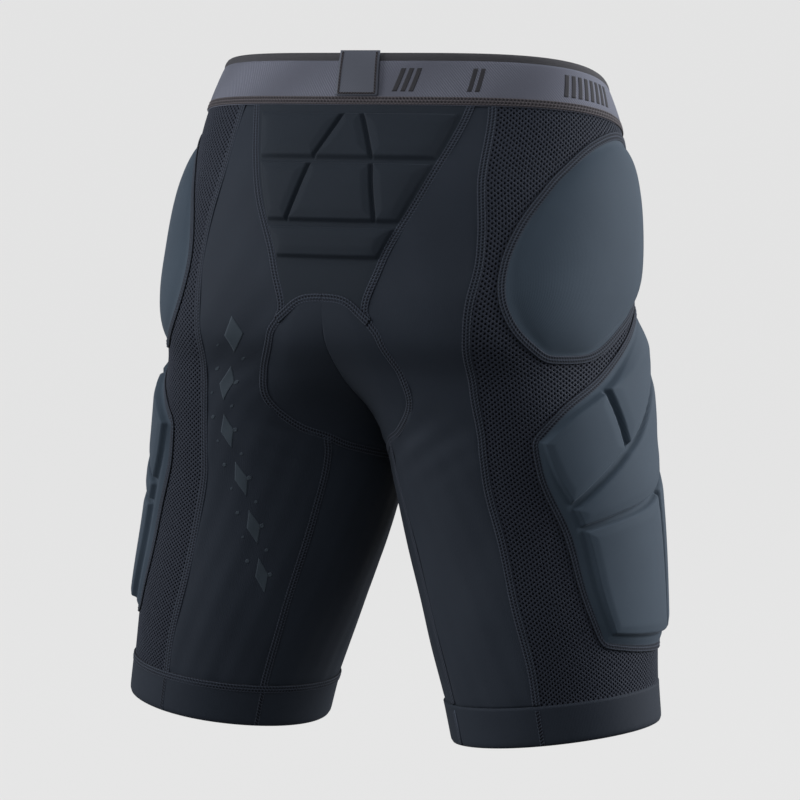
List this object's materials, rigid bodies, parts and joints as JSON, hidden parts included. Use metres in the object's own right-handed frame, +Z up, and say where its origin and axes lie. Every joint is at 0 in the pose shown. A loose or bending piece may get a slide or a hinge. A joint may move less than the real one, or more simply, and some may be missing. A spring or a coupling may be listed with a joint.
{
  "type": "padded impact shorts",
  "caption": "Close-fitting stretch shorts with foam impact pads over the tailbone, hips and thighs, mesh sides and an elastic waistband.",
  "frame": {"origin": "centre of the waist opening, at the height of the waistband's top edge over the hips", "axes": "+Z up, the wearer faces -Y, the wearer's left is +X"},
  "size_m": [0.431, 0.2674, 0.5121],
  "materials": {
    "waistband_elastic": "diagonal twill elastic",
    "dark_binding": "dull knitted edge",
    "tab_webbing": "flat woven webbing",
    "seam_thread": "flatlock thread",
    "stretch_fabric": "smooth stretch knit, slight sheen",
    "side_mesh": "perforated mesh knit",
    "pad_foam": "closed-cell foam",
    "seat_foam": "soft foam",
    "pad_cover": "smooth stretch knit over foam",
    "saddle_fabric": "smooth stretch knit",
    "lining": "thin lining"
  },
  "bodies": {
    "shorts_body": {"front_panel_hip_left": "stretch_fabric", "front_panel_hip_right": "stretch_fabric", "front_pouch": "stretch_fabric", "hip_pad_cover_left": "pad_cover", "hip_pad_cover_right": "pad_cover", "hip_pad_foam_left": "pad_foam", "hip_pad_foam_right": "pad_foam", "rear_tab": "tab_webbing", "rear_yoke": "pad_cover", "rear_yoke_lining": "lining", "saddle_left": "saddle_fabric", "saddle_right": "saddle_fabric", "seat_pad_left": "seat_foam", "seat_pad_right": "seat_foam", "seat_panel_hip_left": "stretch_fabric", "seat_panel_hip_right": "stretch_fabric", "side_mesh_hip_left": "side_mesh", "side_mesh_hip_right": "side_mesh", "tail_pad_1_left": "pad_foam", "tail_pad_1_middle": "pad_foam", "tail_pad_1_right": "pad_foam", "tail_pad_2_left": "pad_foam", "tail_pad_2_middle": "pad_foam", "tail_pad_2_right": "pad_foam", "tail_pad_3": "pad_foam", "waistband": "waistband_elastic", "waistband_binding": "dark_binding", "waistband_seam": "seam_thread"},
    "left_leg": {"front_panel_thigh_left": "stretch_fabric", "hem_left": "stretch_fabric", "hem_seam_left": "seam_thread", "inner_thigh_left": "stretch_fabric", "seat_panel_thigh_left": "stretch_fabric", "side_mesh_thigh_left": "side_mesh", "thigh_pad_a_left": "pad_foam", "thigh_pad_b_left": "pad_foam", "thigh_pad_c_left": "pad_foam", "thigh_pad_cover_left": "pad_cover", "thigh_pad_d_left": "pad_foam", "thigh_pad_e_left": "pad_foam"},
    "right_leg": {"front_panel_thigh_right": "stretch_fabric", "hem_right": "stretch_fabric", "hem_seam_right": "seam_thread", "inner_thigh_right": "stretch_fabric", "seat_panel_thigh_right": "stretch_fabric", "side_mesh_thigh_right": "side_mesh", "thigh_pad_a_right": "pad_foam", "thigh_pad_b_right": "pad_foam", "thigh_pad_c_right": "pad_foam", "thigh_pad_cover_right": "pad_cover", "thigh_pad_d_right": "pad_foam", "thigh_pad_e_right": "pad_foam"}
  },
  "joints": [
    {"name": "left_hip_flexion", "type": "hinge", "parent": "shorts_body", "child": "left_leg", "pos_m": [0.11, 0.0144, -0.185], "axis": [-1, 0, 0], "range_deg": [-10, 50], "deforming": ["seat_panel_hip_left", "side_mesh_hip_left", "front_panel_hip_left", "saddle_left", "seat_pad_left", "inner_thigh_left", "thigh_pad_cover_left", "thigh_pad_b_left"]},
    {"name": "right_hip_flexion", "type": "hinge", "parent": "shorts_body", "child": "right_leg", "pos_m": [-0.11, 0.0144, -0.185], "axis": [-1, 0, 0], "range_deg": [-10, 50], "deforming": ["seat_panel_hip_right", "side_mesh_hip_right", "front_panel_hip_right", "saddle_right", "seat_pad_right", "inner_thigh_right", "thigh_pad_cover_right", "thigh_pad_b_right"]}
  ]
}
